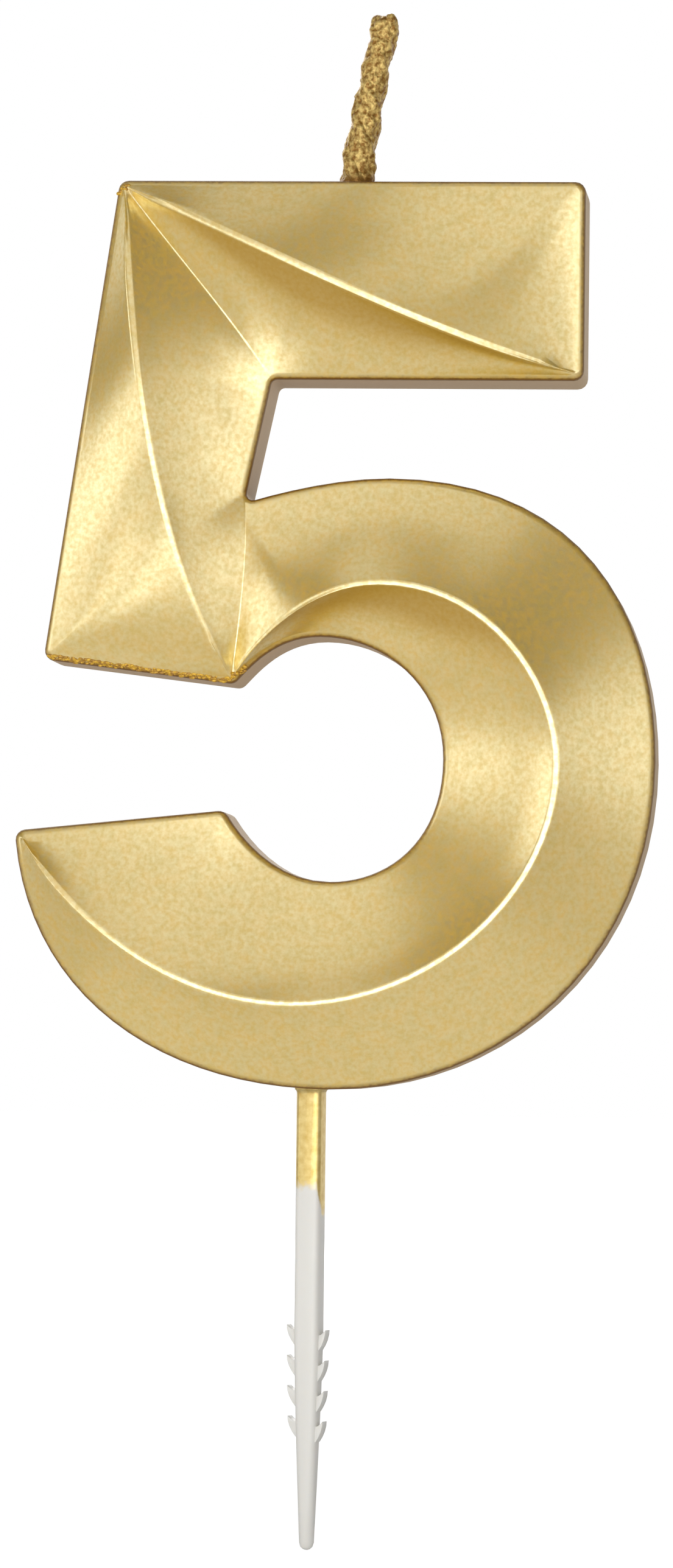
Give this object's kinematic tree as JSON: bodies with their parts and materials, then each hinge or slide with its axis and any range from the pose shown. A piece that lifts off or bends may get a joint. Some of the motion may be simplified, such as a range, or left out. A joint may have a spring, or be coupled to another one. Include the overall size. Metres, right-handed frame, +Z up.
{
  "type": "number candle",
  "caption": "Standing numeral-five cake candle with a faceted gold front, a twisted wick and a barbed pick that pushes into a cake.",
  "frame": {"origin": "on the pick's axis, level with the numeral's lowest point, where the candle meets the top of a cake", "axes": "+Z up along the pick's axis, +X to the right as the numeral is read, -Y out of the faceted front, +Y out of the flat back"},
  "size_m": [0.0494, 0.012, 0.1192],
  "materials": {
    "gold_lacquered_wax": "moulded paraffin wax sprayed with satin gold lacquer, fine metallic grain",
    "gold_coated_cotton": "waxed cotton strands under the same gold lacquer, lumpy",
    "white_pick_plastic": "satin translucent white plastic, gold overspray at the top"
  },
  "bodies": {
    "root": {"wax_numeral": "gold_lacquered_wax", "wick_strand_1": "gold_coated_cotton", "wick_strand_2": "gold_coated_cotton", "wick_strand_3": "gold_coated_cotton", "cake_pick": "white_pick_plastic"}
  },
  "joints": []
}
